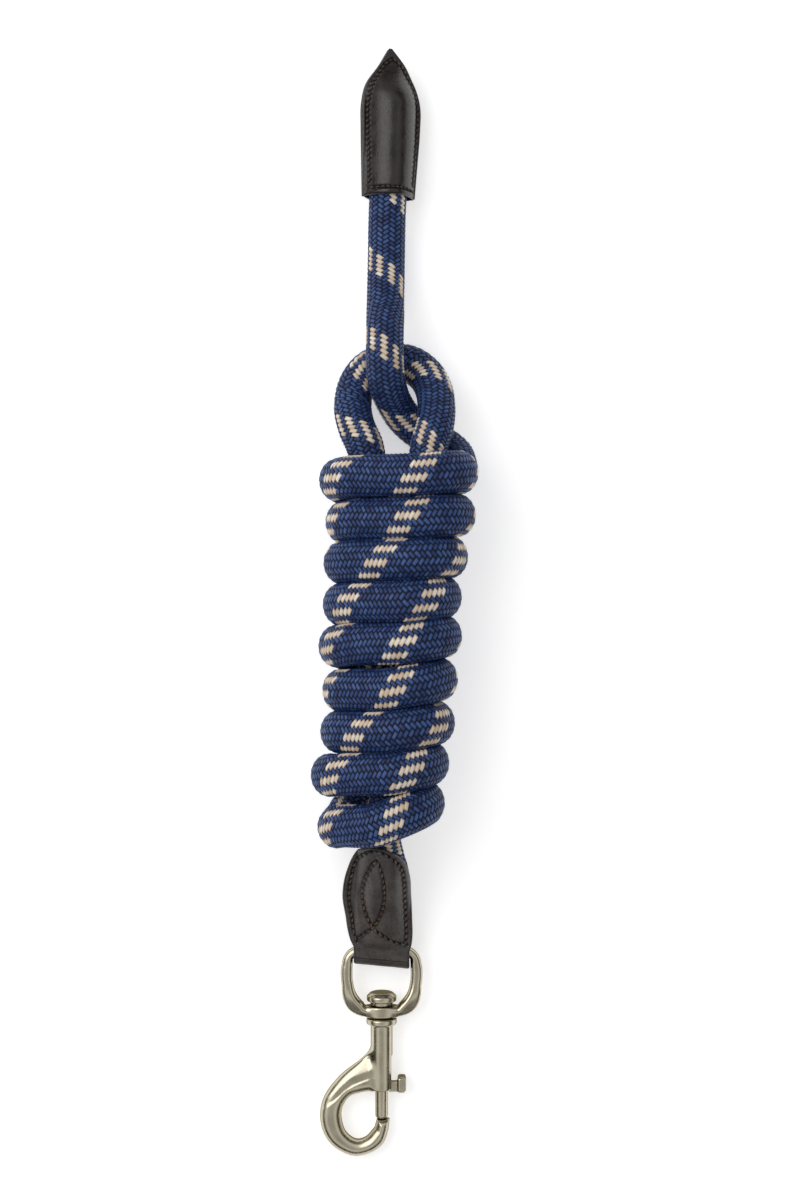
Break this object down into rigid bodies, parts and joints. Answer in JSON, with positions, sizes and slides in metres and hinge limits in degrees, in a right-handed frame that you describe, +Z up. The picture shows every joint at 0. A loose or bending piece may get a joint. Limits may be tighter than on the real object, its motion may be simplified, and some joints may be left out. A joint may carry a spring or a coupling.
{
  "type": "horse lead rope",
  "caption": "Braided lead rope wound into a hank, with a stitched leather chape holding a swivel bolt snap and a pointed leather end cap.",
  "frame": {"origin": "floor point under the middle of the leather and metal fittings (snap, chape and cap), with the rope lying on z = 0", "axes": "+Y along the hank from the snap to the end cap, +X across it to the right, +Z up out of the floor"},
  "size_m": [0.0705, 0.4981, 0.054],
  "materials": {
    "rope": "braided soft multifilament, blue with a beige fleck",
    "leather": "smooth dark brown bridle leather with a soft sheen",
    "thread": "waxed brown sewing thread",
    "nickel": "polished nickel plate",
    "spring_steel": "plain drawn wire"
  },
  "bodies": {
    "rope_and_leather": {"rope_hank": "rope", "rope_loop": "rope", "rope_tail": "rope", "rope_snap_end": "rope", "chape_strap": "leather", "chape_edge_needle_thread": "thread", "chape_edge_bobbin_thread": "thread", "chape_inner_needle_thread": "thread", "chape_inner_bobbin_thread": "thread", "cap_front_leaf": "leather", "cap_back_leaf": "leather", "cap_edge_needle_thread": "thread", "cap_edge_bobbin_thread": "thread", "cap_hem_needle_thread": "thread", "cap_hem_bobbin_thread": "thread"},
    "eye": {"swivel_eye": "nickel"},
    "snap": {"snap_body": "nickel", "swivel_rivet": "nickel", "bolt_spring": "spring_steel"},
    "bolt": {"snap_bolt": "nickel", "thumb_knob": "nickel"}
  },
  "joints": [
    {"name": "eye_hinge", "type": "hinge", "parent": "rope_and_leather", "child": "eye", "pos_m": [0.0046, -0.1566, 0.0083], "axis": [1, 0, 0], "range_deg": [-110, 140]},
    {"name": "snap_swivel", "type": "hinge", "parent": "eye", "child": "snap", "pos_m": [0.0046, -0.1566, 0.0083], "axis": [0, 0.9991, 0.0427], "continuous": true},
    {"name": "bolt_slide", "type": "slide", "parent": "snap", "child": "bolt", "axis": [0, 0.9991, 0.0427], "range_m": [0, 0.0115], "stiffness_N_per_m": 600, "springref_m": -0.006, "deforming": ["bolt_spring"]}
  ]
}
